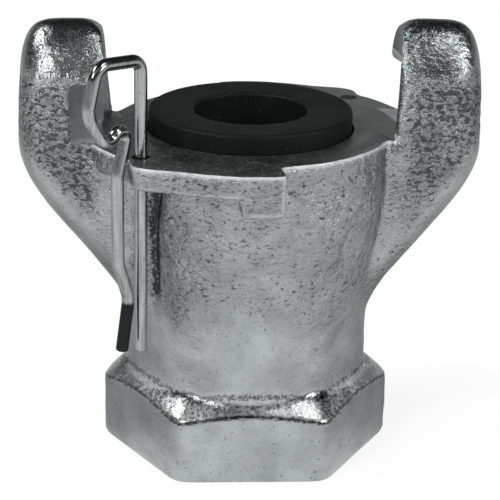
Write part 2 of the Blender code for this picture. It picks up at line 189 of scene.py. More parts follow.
@dataclass(frozen=True)
class Shell:
    """Points and four-sided or many-sided faces of one closed surface."""

    points: Array
    faces: list[tuple[int, ...]]

    @staticmethod
    def from_rings(rings: Array, capped: bool = True) -> "Shell":
        """A surface through a stack of closed rings.

        Point (i, j) of the grid joins (i + 1, j) and (i, j + 1), where j wraps round. A
        capped stack is closed by its first and last ring, and an uncapped one joins its
        last ring to its first, as a ring-shaped body does.

        Args:
            rings: Array of ring, point on the ring, and coordinate.
            capped: Whether the ends are closed by flat faces.

        Returns:
            The closed shell.
        """
        count, around = rings.shape[:2]
        rows = np.arange(count - 1 if capped else count)[:, None]
        columns = np.arange(around)[None, :]
        low = rows * around
        high = (rows + 1) % count * around
        right = (columns + 1) % around
        quads = np.stack([low + columns, low + right, high + right, high + columns], axis=2)
        faces = [tuple(quad) for quad in quads.reshape(-1, 4).tolist()]
        if capped:
            faces.append(tuple(range(around))[::-1])
            faces.append(tuple(range((count - 1) * around, count * around)))
        return Shell(rings.reshape(-1, 3), faces)

    @staticmethod
    def prism(outline: Array, bottom: float, top: float,
              rounding: float = 0.0) -> "Shell":
        """A flat outline raised from one height to another.

        Over the lower edge the outline draws in towards the axis by c (1 - sin a) at height
        c (1 - cos a), for a from 0 to a quarter turn, where c is the rounding.

        Args:
            outline: Array of (x, y) corners, counterclockwise.
            bottom: Lower height.
            top: Upper height.
            rounding: Size of the lower edge's rounding.

        Returns:
            The closed shell.
        """
        turn = np.linspace(0.0, math.pi / 2, 9 if rounding else 1)
        share = 1 - rounding * (1 - np.sin(turn)) / np.hypot(*outline.T).max()
        share = np.append(share, 1.0)
        levels = np.append(bottom + rounding * (1 - np.cos(turn)), top)
        rings = np.zeros((len(levels), len(outline), 3))
        rings[:, :, :2] = outline * share[:, None, None]
        rings[:, :, 2] = levels[:, None]
        return Shell.from_rings(rings)

    @staticmethod
    def turned(profile: Array, start: float, sweep: float, steps: int) -> "Shell":
        """A closed (radius, height) profile carried round the axis.

        Ring i stands at angle start + sweep i / steps, and point j of it is
        (r_j cos a, r_j sin a, z_j). A full turn joins its last ring to its first.

        Args:
            profile: Array of (radius, height) corners.
            start: First angle.
            sweep: Angle swept.
            steps: Number of steps round.

        Returns:
            The closed shell.
        """
        full = sweep > math.tau - 1e-6
        angles = start + sweep * np.arange(steps if full else steps + 1) / steps
        rings = ring_grid(profile[None, :, 0], angles[:, None], profile[None, :, 1])
        return Shell.from_rings(rings, capped=not full)

    def half_turned(self) -> "Shell":
        """The same shell turned half a circle about the axis."""
        return Shell(self.points * np.array([-1.0, -1.0, 1.0]), self.faces)

    def joined(self, *others: "Shell") -> "Shell":
        """One shell, with the others' points and faces after its own.

        Args:
            others: The shells to add.

        Returns:
            The joined shell.
        """
        points = [self.points]
        faces = list(self.faces)
        offset = len(self.points)
        for other in others:
            points.append(other.points)
            faces += [tuple(corner + offset for corner in face) for face in other.faces]
            offset += len(other.points)
        return Shell(np.concatenate(points), faces)

    def to_object(self, name: str, finish: Material) -> Object:
        """A mesh object in the scene, with its faces turned outwards.

        Args:
            name: Name of the object.
            finish: Its material.

        Returns:
            The new object, at the origin.
        """
        mesh = bpy.data.meshes.new(name)
        mesh.from_pydata(self.points.tolist(), [], self.faces)
        mesh.materials.append(finish)
        item = bpy.data.objects.new(name, mesh)
        bpy.context.scene.collection.objects.link(item)
        turn_outwards(mesh)
        return item


def turn_outwards(mesh: Mesh) -> None:
    """Turn every face of a closed mesh outwards.

    Args:
        mesh: The mesh, which is changed in place.
    """
    shell = bmesh.new()
    shell.from_mesh(mesh)
    bmesh.ops.recalc_face_normals(shell, faces=shell.faces)
    shell.to_mesh(mesh)
    shell.free()


def settle(item: Object) -> None:
    """Replace an object's mesh by what its modifiers make of it.

    Args:
        item: The object, whose modifiers are used up.
    """
    graph = bpy.context.evaluated_depsgraph_get()
    finished = bpy.data.meshes.new_from_object(item.evaluated_get(graph))
    item.modifiers.clear()
    item.data = finished


def shade_round(item: Object, angle: float = 35.0) -> None:
    """Smooth shading, with hard edges where faces meet at more than an angle in degrees."""
    item.data.shade_smooth()
    item.data.set_sharp_from_angle(angle=math.radians(angle))


def vertex_array(mesh: Mesh, key: str) -> Array:
    """Positions ("co") or normals ("normal") of a mesh's vertices as one array.

    Args:
        mesh: The mesh.
        key: What to read of each vertex.

    Returns:
        Array with one row for each vertex.
    """
    values = np.zeros(len(mesh.vertices) * 3, np.float32)
    mesh.vertices.foreach_get(key, values)
    return values.reshape(-1, 3).astype(float)


def arc(radius: float, start: float, end: float, steps: int) -> Array:
    """Points (r cos a, r sin a) for angles spread evenly from start to end."""
    angles = np.linspace(start, end, steps)
    return radius * np.stack([np.cos(angles), np.sin(angles)], axis=1)


@dataclass(frozen=True)
class Signal:
    """A value in a node tree, on which plain arithmetic adds nodes."""

    graph: "Graph"
    socket: NodeSocket

    def __add__(self, other: "Signal | float") -> "Signal":
        """The sum of both values."""
        return self.graph.math("ADD", self, other)

    def __sub__(self, other: "Signal | float") -> "Signal":
        """This value less the other."""
        return self.graph.math("SUBTRACT", self, other)

    def __rsub__(self, other: float) -> "Signal":
        """A plain number less this value."""
        return self.graph.math("SUBTRACT", other, self)

    def __mul__(self, other: "Signal | float") -> "Signal":
        """The product of both values."""
        return self.graph.math("MULTIPLY", self, other)

    def __truediv__(self, other: "Signal | float") -> "Signal":
        """This value divided by the other."""
        return self.graph.math("DIVIDE", self, other)

    def __pow__(self, power: float) -> "Signal":
        """This value raised to a power."""
        return self.graph.math("POWER", self, power)

    def __abs__(self) -> "Signal":
        """This value without its sign."""
        return self.graph.math("ABSOLUTE", self)

    def most(self, other: "Signal") -> "Signal":
        """The larger of both values."""
        return self.graph.math("MAXIMUM", self, other)

    def span(self, low: float, high: float, start: "Signal | float" = 0.0,
             end: float = 1.0) -> "Signal":
        """Map values from low..high to start..end, held at both ends."""
        return self.graph.add("MapRange", self, from_min=low, from_max=high,
                              to_min=start, to_max=end)


class Graph:
    """A node tree, with short calls for the nodes that the finishes use."""

    def __init__(self, owner: Material | World) -> None:
        """Start the tree of a new material or world.

        Args:
            owner: The material or world.
        """
        self.owner = owner
        owner.use_nodes = True
        self.tree = owner.node_tree

    @staticmethod
    def of_finish(name: str) -> "Graph":
        """The tree of a new material with one Principled shader."""
        return Graph(bpy.data.materials.new(name))

    @cached_property
    def shader(self) -> Node:
        """The Principled shader."""
        return self.tree.nodes["Principled BSDF"]

    @cached_property
    def place(self) -> Signal:
        """The place in the object's own frame."""
        return self.add("TexCoord", output="Object")

    def axis(self, name: str) -> Signal:
        """The X, Y or Z of the place."""
        return self.add("SeparateXYZ", self.place, output=name)

    def ray(self, kind: str) -> Signal:
        """1 for a kind of ray, such as Camera, and 0 for the others."""
        return self.add("LightPath", output=f"Is {kind} Ray")

    def feed(self, target: NodeSocket, value: object) -> None:
        """Link a signal, or set a plain value, with an alpha of 1 for a colour.

        Args:
            target: The socket.
            value: A signal, a number or a tuple.
        """
        if isinstance(value, Signal):
            self.tree.links.new(value.socket, target)
        else:
            target.default_value = (*value, 1.0) if target.type == "RGBA" else value

    def feed_named(self, node: Node, **inputs: object) -> None:
        """Feed a node's inputs by name, with _ for a space."""
        for name, value in inputs.items():
            self.feed(node.inputs[name.replace("_", " ").title()], value)

    def add(self, kind: str, *values: object, output: int | str = 0,
            **inputs: object) -> Signal:
        """Add a node and hand back one of its outputs.

        Args:
            kind: Type of the node, without ShaderNode.
            values: What its inputs get, in order.
            output: Place or name of the output.
            inputs: What further inputs get, by name.

        Returns:
            The output as a signal.
        """
        node = self.tree.nodes.new(f"ShaderNode{kind}")
        for socket, value in zip(node.inputs, values):
            self.feed(socket, value)
        self.feed_named(node, **inputs)
        return Signal(self, node.outputs[output])

    def math(self, operation: str, *values: object) -> Signal:
        """One math operation on one or two values.

        Args:
            operation: Name of the operation.
            values: Signals or numbers.

        Returns:
            The result.
        """
        result = self.add("Math", *values)
        result.socket.node.operation = operation
        return result

    def noise(self, size: float, detail: float = 3.0, rough: float = 0.55,
              bend: float = 0.0, stretch: Triple | None = None) -> Signal:
        """Cloudy noise whose patches are about one size across.

        Args:
            size: Patch size in metres.
            detail: Octaves.
            rough: Weight of the finer octaves.
            bend: Distortion.
            stretch: Scale along each axis, where the patches are drawn out.

        Returns:
            The signal with values around 0.5.
        """
        place = self.place
        if stretch is not None:
            place = self.add("Mapping", place, scale=stretch)
        return self.add("TexNoise", place, scale=1 / size, detail=detail, roughness=rough,
                        distortion=bend)

    def blend(self, share: Signal, first: Signal | Colour, second: Colour) -> Signal:
        """Mix two colours by a share.

        Args:
            share: 0 for the first colour, 1 for the second.
            first: The first colour.
            second: The second colour.

        Returns:
            The mixed colour.
        """
        node = self.tree.nodes.new("ShaderNodeMix")
        node.data_type = "RGBA"
        for index, value in zip(MIX_INPUTS, (share, first, second)):
            self.feed(node.inputs[index], value)
        return Signal(self, node.outputs[MIX_OUTPUT])

    def painted(self, name: str) -> Signal:
        """A value stored on the piece's own vertices.

        Args:
            name: Name of the value.

        Returns:
            The value as a signal.
        """
        value = self.add("Attribute", output="Fac")
        value.socket.node.attribute_name = name
        return value

    def bump(self, height: Signal, depth: float, strength: Signal | float,
             under: Signal | None = None) -> Signal:
        """A bumped normal.

        Args:
            height: Height between 0 and 1.
            depth: Depth in metres for a height of 1.
            strength: Strength of the effect.
            under: A bumped normal that this one is laid over.

        Returns:
            The normal.
        """
        normal = self.add("Bump", height=height, distance=depth, strength=strength)
        if under is not None:
            self.feed_named(normal.socket.node, normal=under)
        return normal

    def finish(self, **values: object) -> Material:
        """Feed the Principled shader's inputs by name, and return the material."""
        self.feed_named(self.shader, **values)
        return self.owner


@dataclass(frozen=True)
class CastZinc:
    """Zinc plating over sand-cast iron.

    The painted shares on the vertices say where it is pitted, where a highlight is painted
    along an edge, and where painted shade speckles the shoulders and lies along their lines.
    The pits are drawn out sideways.
    """

    light: Colour = (0.48, 0.507, 0.515)
    middle: Colour = (0.35, 0.372, 0.378)
    dark: Colour = (0.050, 0.060, 0.060)
    # Colour of the painted highlight along edges and on the shoulders.
    painted_highlight: Colour = (0.92, 0.94, 0.94)
    cloud: float = 5 * MM
    grain: float = 0.5 * MM
    crumb: float = 0.45 * MM
    glint: float = 0.32 * MM
    glint_depth: float = 0.045 * MM
    pit: float = 0.85 * MM
    pit_depth: float = 0.42 * MM
    pit_shape: Triple = (1.0, 1.0, 1.7)
    dent: float = 2.2 * MM
    dent_depth: float = 0.50 * MM
    pitted_shade: float = 0.30
    # Strength of the painted shade in the pits.
    pit_shade: float = 0.88
    crumb_soil: float = 0.6
    # Strength of the painted shade speckles along the lines.
    line_shade: float = 0.68
    edge_roughness: float = 0.25

    def build(self) -> Material:
        """Make the material.

        Returns:
            The material.
        """
        graph = Graph.of_finish("zinc_plated_casting")
        pitting, painted_shade, shoulder, edge = (
            graph.painted(name) for name in ("pitting", "painted_shade", "shoulder", "edge"))
        fine = graph.noise(self.grain, 3.0, 0.6)
        pits = graph.noise(self.pit, 4.0, 0.62, 0.4, self.pit_shape)
        clouds = graph.noise(self.cloud, 4.0, 0.6).span(0.35, 0.65)
        base = graph.blend(clouds, self.light, self.middle)
        base = graph.blend(pitting * self.pitted_shade, base, self.dark)
        # Painted shade in the pits, deeper where the painted shade lines run.
        depth = (pitting.most(painted_shade) * 0.18 + 0.30 - pits).span(-0.02, 0.06, 0.0, self.pit_shade)
        crumbs = graph.noise(self.crumb, 2.0).span(0.26, 0.36, 1.0, 0.0) * self.crumb_soil
        # Painted shade: dark speckles along the lines.
        shade_speckle = (painted_shade * self.line_shade - fine).span(-0.08, 0.10)
        colour = graph.blend(depth.most(shade_speckle.most(crumbs)), base, self.dark)
        # Painted highlight: the edge share, broken up on the shoulders by fine noise, turns the
        # colour pale and takes the metal out.
        edge = edge * (1.0 - shoulder * fine.span(0.42, 0.58, 1.0, 0.0))
        colour = graph.blend(edge, colour, self.painted_highlight)
        rough = fine.span(0.3, 0.7, 0.17, 0.29) + edge * self.edge_roughness
        dents = graph.noise(self.dent, 2.0, 0.5, 0.5)
        glints = graph.noise(self.glint, 2.0, 0.6)
        normal = graph.bump(dents, self.dent_depth, pitting.span(0.0, 0.5, 0.05, 0.8))
        normal = graph.bump(pits, self.pit_depth, pitting.span(0.0, 1.0, 0.06, 1.0), normal)
        normal = graph.bump(glints, self.glint_depth, shoulder.span(0.0, 1.0, 0.30, 0.8), normal)
        return graph.finish(base_color=colour, metallic=edge.span(0.0, 1.0, 1.0, 0.20),
                            roughness=rough, normal=normal)


@dataclass(frozen=True)
class MachinedZinc:
    """Turned and drilled faces, darker and smoother, with fine tool rings and light specks
    painted as glints.

    The face is paler at +X, and the claws' inner walls above it are painted darkest,
    as painted shade.
    """

    light: Colour = (0.19, 0.205, 0.205)
    dark: Colour = (0.09, 0.10, 0.10)
    pale_tone: Colour = (0.30, 0.32, 0.32)
    # Colour of the painted shade on the claws' inner walls.
    wall: Colour = (0.065, 0.075, 0.075)
    speck: Colour = (0.62, 0.64, 0.64)
    ring: float = 0.25 * MM
    ring_depth: float = 0.01 * MM
    skin_depth: float = 0.05 * MM
    relief: float = 0.35

    def build(self) -> Material:
        """Make the material.

        Returns:
            The material.
        """
        graph = Graph.of_finish("machined_iron")
        across = graph.axis("X")
        clouds = graph.noise(4 * MM, 4.0, 0.6)
        base = graph.blend(clouds.span(0.35, 0.65), self.dark, self.light)
        # The face turns paler towards +X.
        paler_side = across.span(6 * MM, 16 * MM)
        base = graph.blend(paler_side, base, self.pale_tone)
        # Painted shade: the claws' inner walls darken with height above the face.
        base = graph.blend(graph.axis("Z").span(50 * MM, 52 * MM, 0.0, 0.9), base, self.wall)
        # Painted glints: light specks, most of them away from +X.
        specks = graph.noise(0.4 * MM, 3.0, 0.6).span(0.55, 0.64)
        specks = specks * paler_side.span(0.0, 1.0, 0.7, 0.1)
        base = graph.blend(specks, base, self.speck)
        radius = (across ** 2.0 + graph.axis("Y") ** 2.0) ** 0.5
        rings = graph.math("SINE", radius * (math.tau / self.ring))
        normal = graph.bump(rings.span(-1.0, 1.0), self.ring_depth, self.relief)
        normal = graph.bump(graph.noise(0.7 * MM, 4.0, 0.6), self.skin_depth, self.relief, normal)
        rough = clouds.span(0.3, 0.7, 0.30, 0.45)
        return graph.finish(base_color=base, metallic=0.9, roughness=rough, normal=normal)


@dataclass(frozen=True)
class PlatedCut:
    """The smooth plated walls of the pockets, with faint clouds and a few specks."""

    light: Colour = (0.50, 0.525, 0.53)
    dark: Colour = (0.38, 0.40, 0.405)
    speck: Colour = (0.05, 0.06, 0.06)
    skin_depth: float = 0.05 * MM
    relief: float = 0.35
    metal: float = 0.45

    def build(self) -> Material:
        """Make the material.

        Returns:
            The material.
        """
        graph = Graph.of_finish("plated_pocket")
        clouds = graph.noise(2.5 * MM, 4.0, 0.6)
        specks = graph.noise(0.5 * MM, 2.0).span(0.28, 0.34, 0.7, 0.0)
        base = graph.blend(clouds.span(0.35, 0.65), self.dark, self.light)
        base = graph.blend(specks, base, self.speck)
        normal = graph.bump(graph.noise(0.8 * MM, 4.0, 0.6), self.skin_depth, self.relief)
        rough = clouds.span(0.3, 0.7, 0.38, 0.50)
        return graph.finish(base_color=base, metallic=self.metal, roughness=rough,
                            normal=normal)


@dataclass(frozen=True)
class BlackRubber:
    """Matt moulded rubber with a little dust and a fine skin."""

    black: Colour = (0.0042, 0.0055, 0.0052)
    dust: Colour = (0.045, 0.052, 0.050)
    gloss: float = 0.22
    skin_depth: float = 0.03 * MM
    swell_depth: float = 0.15 * MM

    def build(self) -> Material:
        """Make the material.

        Returns:
            The material.
        """
        graph = Graph.of_finish("moulded_rubber")
        motes = graph.noise(0.6 * MM, 2.0).span(0.70, 0.76)
        patches = graph.noise(5 * MM, 3.0).span(0.5, 0.8, 0.0, 0.12)
        colour = graph.blend(motes.most(patches), self.black, self.dust)
        skin = graph.noise(0.35 * MM, 3.0)
        normal = graph.bump(skin, self.skin_depth, 0.5)
        normal = graph.bump(graph.noise(3 * MM, 2.0), self.swell_depth, 0.4, normal)
        rough = skin.span(0.3, 0.7, 0.48, 0.66)
        graph.shader.inputs["Specular IOR Level"].default_value = self.gloss
        return graph.finish(base_color=colour, roughness=rough, normal=normal)


@dataclass(frozen=True)
class BrightWire:
    """Drawn and plated wire with faint streaks, small nicks and a painted dark reflection on
    its flared end.
    """

    bright: Colour = (0.48, 0.50, 0.50)
    wear_and_dark_reflection: Colour = (0.26, 0.28, 0.28)
    nick: Colour = (0.10, 0.11, 0.11)
    black: Colour = (0.015, 0.018, 0.018)
    streak_shape: Triple = (1.0, 1.0, 0.06)
    streak_depth: float = 0.02 * MM
    nick_share: float = 0.3
    black_share: float = 0.98

    def build(self) -> Material:
        """Make the material.

        Returns:
            The material.
        """
        graph = Graph.of_finish("drawn_wire")
        streaks = graph.noise(0.5 * MM, 3.0, 0.6, 0.0, self.streak_shape)
        nicks = graph.noise(0.8 * MM, 3.0, 0.6).span(0.60, 0.68)
        colour = graph.blend(streaks.span(0.3, 0.7), self.wear_and_dark_reflection, self.bright)
        colour = graph.blend(nicks * self.nick_share, colour, self.nick)
        # Painted dark reflection: the wire's flared end is painted black.
        colour = graph.blend(graph.painted("wear_and_dark_reflection") * self.black_share, colour, self.black)
        normal = graph.bump(streaks, self.streak_depth, 0.35)
        rough = streaks.span(0.3, 0.7, 0.10, 0.24)
        return graph.finish(base_color=colour, metallic=1.0, roughness=rough, normal=normal)


@dataclass
class CastBody:
    """The iron casting: hexagonal pipe end, neck, head, flanges and claws.

    Every size is in metres. The second claw, flange and detent block are the first,
    turned half a circle. The fields after the clip hole's say how the cast skin is
    uneven, where it is pitted, where highlights are painted on it, and where painted shade
    speckles it or lies along lines.
    """

    across_flats: float = 37.5 * MM
    flat_height: float = 10.3 * MM
    corner_power: float = 28.0
    corner_dip: float = 0.45
    shoulder_slope: float = math.radians(42)
    foot_rounding: float = 0.5 * MM
    neck_radius: float = 17.6 * MM
    head_radius: float = 20.6 * MM
    neck_flare_start: float = 18.0 * MM
    neck_flare_length: float = 24.0 * MM
    face_height: float = 47.8 * MM
    shelf_radius: float = 24.5 * MM
    shelf_start: float = math.radians(10)
    flange_radius: float = 24.9 * MM
    flange_thickness: float = 3.5 * MM
    flange_rounding: float = 1.0 * MM
    flange_end: float = math.radians(98.7)
    plate_root: float = 0.8
    bump_rise: float = 1.3 * MM
    bump_angle: float = math.radians(50.5)
    bump_claw_side: float = math.radians(7)
    bump_flange_side: float = math.radians(16)
    detent_depth: float = 6.1 * MM
    detent_angle: float = math.radians(14.5)
    claw_reach: float = 33.15 * MM
    claw_rise: float = 15.75 * MM
    claw_width: float = 17.3 * MM
    claw_lead: float = 0.25 * MM
    claw_nose: float = 6.8 * MM
    claw_root_height: float = 18.4 * MM
    claw_full_height: float = 46.2 * MM
    claw_root_inset: float = 0.3 * MM
    claw_core: float = 0.3
    claw_squareness: float = 0.25
    claw_root_flare: float = 0.43
    claw_flare_reach: float = 25.0 * MM
    claw_flare_rise: float = 17.0 * MM
    claw_dome: float = 18.0 * MM
    claw_dome_power: float = 3.8
    claw_crown: float = 17.0 * MM
    claw_crown_power: float = 1.85
    claw_lip_edge: float = 3.7 * MM
    claw_plan_power: float = 2.6
    claw_inner_radius: float = 21.4 * MM
    claw_lean: float = 0.9 * MM
    pocket_radius: float = 27.0 * MM
    pocket_height: float = 7.9 * MM
    pocket_corner: float = 1.3 * MM
    lip_rounding: float = 2.5 * MM
    stop_wall: float = 4.0 * MM
    waterway_radius: float = 9.2 * MM
    recess_depth: float = 3.9 * MM
    recess_radius: float = 15.0 * MM
    groove_height: float = 2.7 * MM
    groove_depth: float = 1.0 * MM
    socket_radius: float = 13.0 * MM
    socket_depth: float = 16.0 * MM
    relief_length: float = 3.0 * MM
    socket_chamfer: float = 1.2 * MM
    reducer_length: float = 4.0 * MM
    clip_hole_radius: float = 22.1 * MM
    clip_hole_angle: float = math.radians(44.6)
    clip_hole_bore: float = 1.3 * MM
    valley_depth: float = 1.5 * MM
    valley_width: float = math.radians(4.0)
    valley_angle: float = math.radians(45)
    valley_height: float = 39.0 * MM
    valley_turn: float = math.radians(0.45) / MM
    valley_start: Ease = Ease(23 * MM, 5 * MM)
    valley_end: Ease = Ease(43 * MM, 1.5 * MM)
    valley_reach: float = 22.5 * MM
    # Strength and cap of the painted shade in the valley beside each claw.
    valley_shade_gain: float = 1.25
    valley_shade_cap: float = 0.92
    margin: float = 0.8 * MM
    overrun: float = 3.0 * MM
    side_gap: float = 0.3 * MM
    skin_grain: float = 0.42 * MM
    softening: float = 0.5
    soften_passes: int = 7
    pock_depth: float = 0.30 * MM
    ripple_height: float = 0.05 * MM
    wave_height: float = 0.10 * MM
    foot_zone: Ease = Ease(0.5 * MM, 2 * MM)
    rim_rounding: float = 0.45 * MM
    rim_unevenness: float = 0.2 * MM
    rim_reach: float = 26.5 * MM
    rim_core: float = 18 * MM
    rim_top: float = 0.9 * MM
    claw_zone: Ease = Ease(22 * MM, 3 * MM)
    side_zone: Ease = Ease(9.5 * MM, 1.5 * MM)
    side_calm: float = 0.7
    upper_zone: Ease = Ease(44 * MM, 6 * MM)
    upper_lean: float = 1.3
    upper_radius: float = 33 * MM
    crown_zone: Ease = Ease(54 * MM, 4 * MM)
    crown_calm: float = 0.85
    neck_zone: Ease = Ease(18 * MM, 10 * MM)
    least_pitting: float = 0.08
    claw_pitting: float = 0.92
    neck_pitting: float = 0.42
    patchiness: float = 0.35
    slope_start: Ease = Ease(-0.2 * MM, 0.6 * MM)
    slope_end: Ease = Ease(1.6 * MM, 2.2 * MM)
    slope_sparkle: float = 0.8
    crown_sparkle: Ease = Ease(53 * MM, 3 * MM)
    # Strengths of the painted shade at the shoulder's foot and under the flanges.
    foot_shade_line: float = 0.92
    under_flange_shadow: float = 0.6
    claw_margin: float = 0.7 * MM
    claw_foot: float = 21 * MM
    shoulder_drop: float = 30 * MM
    neck_reach: float = 22 * MM
    # Where the flange's lower edges get a painted highlight, and how strong it is.
    edge_radius: float = 22.8 * MM
    edge_start: float = math.radians(28)
    edge_highlight: float = 0.40

    def hexagon(self, angle: Array) -> Array:
        """Radius of a hexagon with rounded corners: a (sum max(0, cos(t - ti))^p)^(-1/p).

        Args:
            angle: Angles about the axis.

        Returns:
            The radius at each angle.
        """
        total = np.zeros_like(angle)
        for side in range(6):
            facing = np.cos(angle - math.pi / 2 - side * math.pi / 3)
            total = total + np.maximum(facing, 0.0) ** self.corner_power
        return self.across_flats / 2 * total ** (-1 / self.corner_power)

    def flat_edge(self, outline: Array) -> Array:
        """Height of the flats' upper edge, which dips towards the corners."""
        return self.flat_height - self.corner_dip * (outline - self.across_flats / 2)

    def neck(self, height: Array) -> Array:
        """Radius of the neck, eased from its narrow part to the head."""
        share = smooth_step(height, self.neck_flare_start, self.neck_flare_length)
        return self.neck_radius + (self.head_radius - self.neck_radius) * share

    def stem(self) -> Shell:
        """Pipe end and neck, r = max(hexagon - slope (z - edge), neck) less the foot's round.

        Returns:
            The shell.
        """
        top = self.face_height + self.margin
        foot = self.foot_rounding * (1 - np.cos(np.linspace(0, math.pi / 2, 6)))
        upper = np.linspace(self.flat_height * 0.6, top, 150)
        heights = np.concatenate([[-self.margin], foot, upper])[:, None]
        angles = np.linspace(0, math.tau, 360, endpoint=False)[None, :]
        outline = self.hexagon(angles)
        slope = np.maximum(heights - self.flat_edge(outline), 0.0) / math.tan(self.shoulder_slope)
        below = np.clip(self.foot_rounding - heights, 0.0, self.foot_rounding)
        inset = self.foot_rounding - np.sqrt(self.foot_rounding ** 2 - below ** 2)
        radius = np.maximum(outline - slope, self.neck(heights)) - inset
        return Shell.from_rings(ring_grid(radius, angles, heights))

    def claw(self) -> Shell:
        """The claw at +X as a stack of level sections.

        Each section is a bar with a rounded nose (|x|^p + |y|^p = 1) whose reach eases out
        from the neck. Its leading side widens towards the axis below the face, and its top
        is rounded across the bar, over the outer side and over the lip, which leans back.

        Returns:
            The shell.
        """
        top = self.face_height + self.claw_rise
        start = self.claw_root_height - self.claw_nose / 2
        heights = (start + (top - start) * np.sin(np.linspace(0, math.pi / 2, 150)))[:, None]
        turn = np.linspace(0, math.tau, 144, endpoint=False)[None, :]
        outer = rounded_off(heights - (top - self.claw_dome), self.claw_dome,
                            self.claw_dome_power)
        crown = rounded_off(heights - (top - self.claw_crown), self.claw_crown,
                            self.claw_crown_power)
        lip = 1 - rounded_off(heights - (top - self.claw_lip_edge), self.claw_lip_edge, 2)
        root = self.neck_radius - self.claw_root_inset
        reach = root + (self.claw_reach - root) * smooth_step(
            heights, self.claw_root_height, self.claw_full_height - self.claw_root_height)
        middle = reach - self.claw_nose
        core = self.head_radius * self.claw_core
        above = smooth_step(heights, self.face_height - self.flange_thickness,
                            self.flange_thickness)
        half_angle = math.asin(self.claw_width / 2 / self.claw_inner_radius)
        inside = self.claw_inner_radius * math.cos(half_angle)
        lean = self.claw_lean * smooth_step(heights, self.face_height, self.claw_rise / 2)
        inner = core + (inside - core) * above + lean + self.claw_lip_edge * lip
        cosine = np.cos(turn)
        sine = np.sin(turn)
        nose = middle + self.claw_nose * outer * np.abs(cosine) ** (2 / self.claw_plan_power)
        heel = middle - (middle - inner) * np.abs(cosine) ** self.claw_squareness
        x = np.where(cosine > 0, nose, heel)
        round_side = np.sign(sine) * np.abs(sine) ** (2 / self.claw_plan_power)
        square_side = np.sign(sine) * np.abs(sine) ** self.claw_squareness
        side = np.where(cosine > 0, round_side,
                        square_side + (round_side - square_side) * lip)
        flare = self.claw_root_flare * np.maximum(self.claw_flare_reach - x, 0.0) * (1 - above)
        flare = flare * smooth_step(heights, self.claw_root_height, self.claw_flare_rise)
        y = self.claw_lead + self.claw_width / 2 * crown * side + flare * np.maximum(side, 0.0)
        return Shell.from_rings(np.stack(np.broadcast_arrays(x, y, heights), axis=2))

    def flange(self) -> Shell:
        """Shelf beside the claw and cam flange beyond it, with a cos^2 bump between them.

        Returns:
            The shell.
        """
        angles = np.linspace(self.shelf_start, self.flange_end, 180)
        away = angles - self.bump_angle
        share = np.where(away < 0, -away / self.bump_claw_side, away / self.bump_flange_side)
        radii = np.where(away < 0, self.shelf_radius, self.flange_radius)
        rise = self.flange_radius + self.bump_rise - radii
        radii = radii + rise * np.cos(np.minimum(share, 1.0) * math.pi / 2) ** 2
        rim = radii[:, None] * np.stack([np.cos(angles), np.sin(angles)], axis=1)
        return self.plate(rim, self.shelf_start, 60, self.flange_thickness)

    def detent(self) -> Shell:
        """The deeper block at the flange's end.

        Returns:
            The shell.
        """
        start = self.flange_end - self.detent_angle
        rim = arc(self.flange_radius, start, self.flange_end, 20)
        return self.plate(rim, start, 12, self.detent_depth)

    def plate(self, rim: Array, start: float, steps: int, thickness: float) -> Shell:
        """A plate under the face, from its rim back to an arc inside the head.

        Args:
            rim: Outer corners, from the start to the flange's end.
            start: Angle at which the plate starts.
            steps: Corners of the inner arc.
            thickness: How deep the plate is.

        Returns:
            The plate, which stands a margin above the face.
        """
        back = arc(self.head_radius * self.plate_root, self.flange_end, start, steps)
        return Shell.prism(np.concatenate([rim, back]), self.face_height - thickness,
                           self.face_height + self.margin, self.flange_rounding)

    def fused(self, finish: Material) -> Object:
        """The forms as one skin: overlapping shells remeshed on a fine grid and smoothed.

        Args:
            finish: Finish of the cast skin.

        Returns:
            The casting before machining.
        """
        sides = [self.claw(), self.flange(), self.detent()]
        forms = self.stem().joined(*sides, *(form.half_turned() for form in sides))
        skin = forms.to_object("casting_skin", finish)
        remesh = skin.modifiers.new("fuse", "REMESH")
        remesh.mode = "VOXEL"
        remesh.voxel_size = self.skin_grain
        soften = skin.modifiers.new("soften", "SMOOTH")
        soften.factor = self.softening
        soften.iterations = self.soften_passes
        settle(skin)
        return skin

    def roughen(self, skin: Object) -> None:
        """Move the skin's points along their normals by cast grain, and round the face's rim.

        The move is -pock w max(0, n1)^2 + ripple n2 + wave n3, where w is the region's
        pitting and n1, n2, n3 are noises of 1.1, 2.2 and 6 mm, less the valley beside each
        claw. The rim of the machined face draws in over a quarter round.

        Args:
            skin: The fused casting.
        """
        points = vertex_array(skin.data, "co")
        normals = vertex_array(skin.data, "normal")
        radius, angle, height = polar(points)
        pocks = np.maximum(Grain(11, 1.1 * MM).at(points), 0.0) ** 2
        ripple = Grain(12, 2.2 * MM).at(points)
        wave = Grain(13, 6 * MM).at(points)
        move = (self.ripple_height * ripple + self.wave_height * wave
                - self.pock_depth * self.pitting(points) * pocks
                - self.valley_depth * self.valley(points))
        foot = self.foot_zone.at(height)
        rim_size = self.rim_rounding + self.rim_unevenness * Grain(17, 3 * MM).at(points)
        near = np.clip(rim_size - (self.face_height - height), 0.0, rim_size)
        rim = (radius < self.rim_reach) & (height < self.face_height + self.rim_top)
        inset = np.where(rim & (radius > self.rim_core),
                         rim_size - np.sqrt(rim_size ** 2 - near ** 2), 0.0)
        outward = np.stack([np.cos(angle), np.sin(angle), np.zeros_like(angle)], axis=1)
        points = points + normals * (move * foot)[:, None] - outward * inset[:, None]
        skin.data.vertices.foreach_set("co", points.astype(np.float32).ravel())

